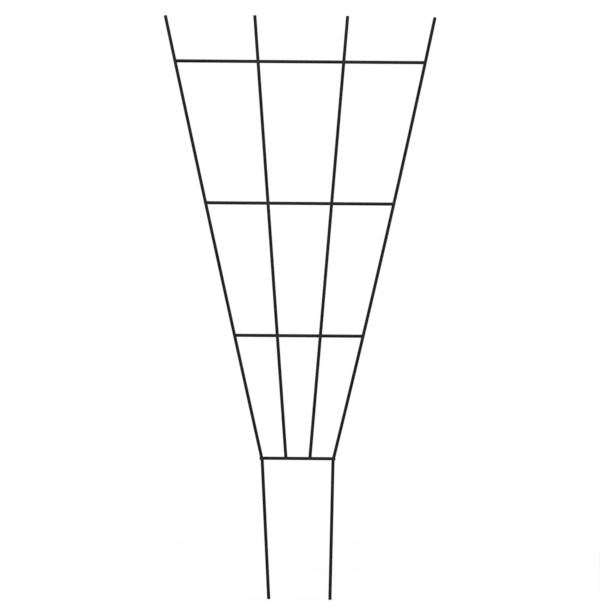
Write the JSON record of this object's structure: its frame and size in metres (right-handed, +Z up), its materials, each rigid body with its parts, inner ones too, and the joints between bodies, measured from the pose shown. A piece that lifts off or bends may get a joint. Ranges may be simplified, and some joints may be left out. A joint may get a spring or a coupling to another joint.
{
  "type": "fan trellis",
  "caption": "Flat fan trellis of welded round steel rod in satin black, with flared uprights on crossbars and ground legs to push into the soil.",
  "frame": {"origin": "on the soil line, at the underside of the bottom bar, in the middle of the fan and in the plane where the uprights and the crossbars are welded together", "axes": "+Z up along the trellis, +X to the right as seen from the front, -Y to the front, the side that the uprights are on"},
  "size_m": [0.5695, 0.013, 1.2184],
  "materials": {
    "rod_coat": "satin black powder coat",
    "weld_coat": "satin black powder coat over the weld flash"
  },
  "bodies": {
    "root": {"left_outer_upright": "rod_coat", "left_inner_upright": "rod_coat", "right_inner_upright": "rod_coat", "right_outer_upright": "rod_coat", "top_bar": "rod_coat", "upper_middle_bar": "rod_coat", "lower_middle_bar": "rod_coat", "bottom_bar": "rod_coat", "top_bar_left_outer_weld": "weld_coat", "top_bar_left_inner_weld": "weld_coat", "top_bar_right_inner_weld": "weld_coat", "top_bar_right_outer_weld": "weld_coat", "upper_middle_bar_left_outer_weld": "weld_coat", "upper_middle_bar_left_inner_weld": "weld_coat", "upper_middle_bar_right_inner_weld": "weld_coat", "upper_middle_bar_right_outer_weld": "weld_coat", "lower_middle_bar_left_outer_weld": "weld_coat", "lower_middle_bar_left_inner_weld": "weld_coat", "lower_middle_bar_right_inner_weld": "weld_coat", "lower_middle_bar_right_outer_weld": "weld_coat", "bottom_bar_left_outer_weld": "weld_coat", "bottom_bar_left_inner_weld": "weld_coat", "bottom_bar_right_inner_weld": "weld_coat", "bottom_bar_right_outer_weld": "weld_coat"}
  },
  "joints": []
}
